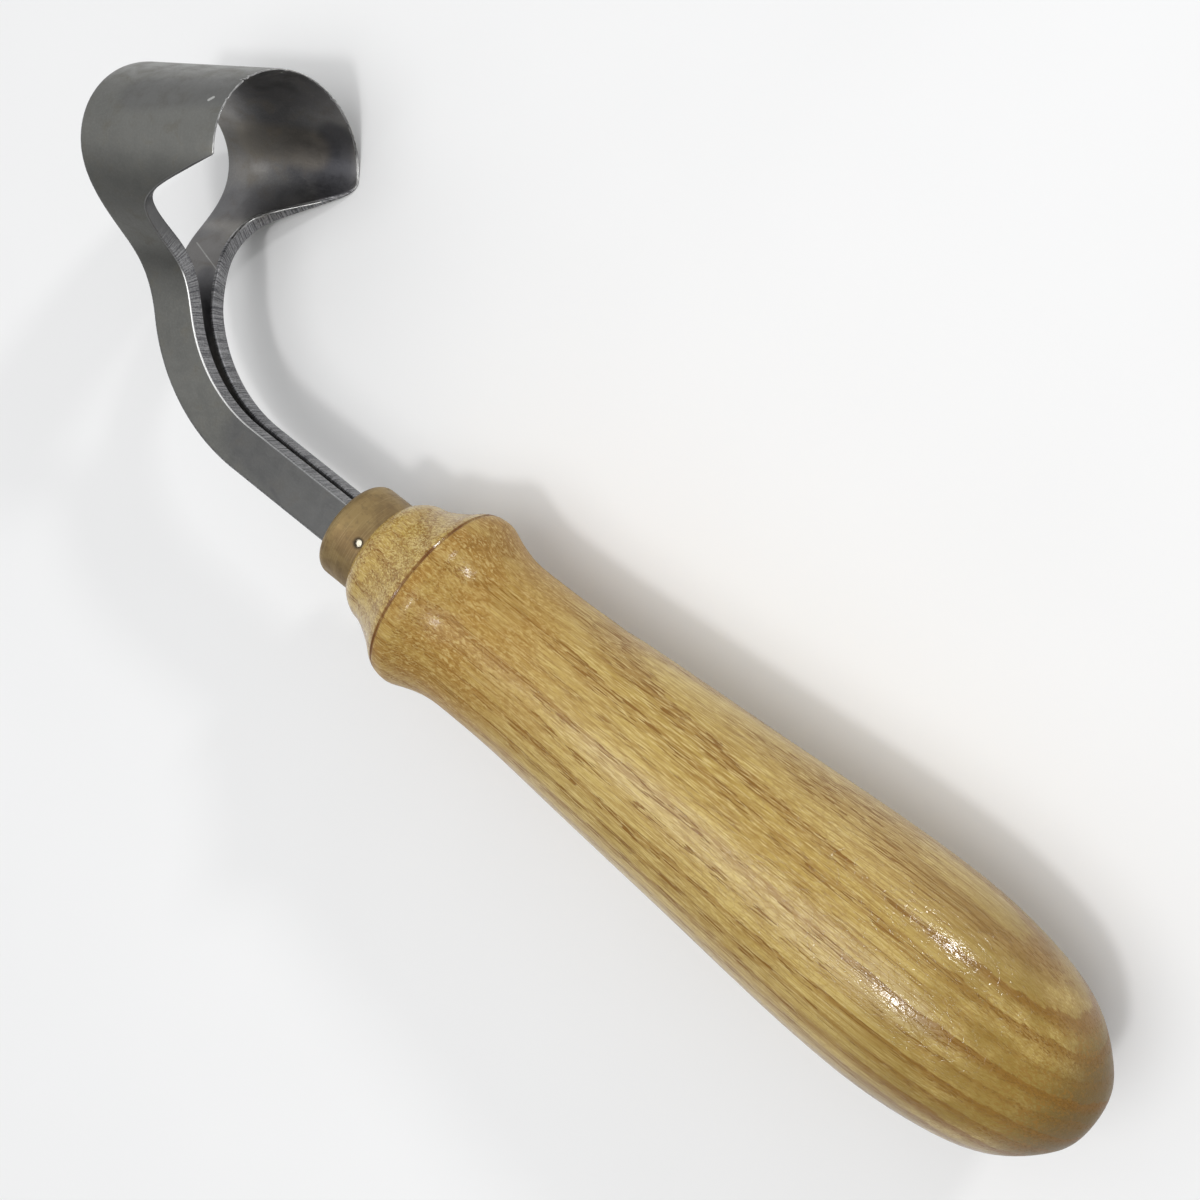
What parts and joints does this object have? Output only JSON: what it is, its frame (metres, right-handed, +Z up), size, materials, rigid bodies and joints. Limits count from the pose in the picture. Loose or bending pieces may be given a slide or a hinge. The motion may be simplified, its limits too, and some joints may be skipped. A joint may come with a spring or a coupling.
{
  "type": "scorp",
  "caption": "Hand scorp: folded spring-steel loop blade with a curved two-leg shank, brass ferrule and a turned, varnished wooden handle.",
  "frame": {"origin": "centre of the front face of the ferrule, on the axis of the handle", "axes": "+X along the handle towards the blade, -Y towards the hook of the blade, +Z up with the tool lying on its side"},
  "size_m": [0.218, 0.0748, 0.0408],
  "materials": {
    "steel": "satin",
    "brass": "dull",
    "pin_brass": "polished",
    "ash": "varnished",
    "resin": "cured"
  },
  "bodies": {
    "root": {"blade": "steel", "ferrule": "brass", "ferrule_pin": "pin_brass", "handle": "ash", "tang_adhesive": "resin"}
  },
  "joints": []
}
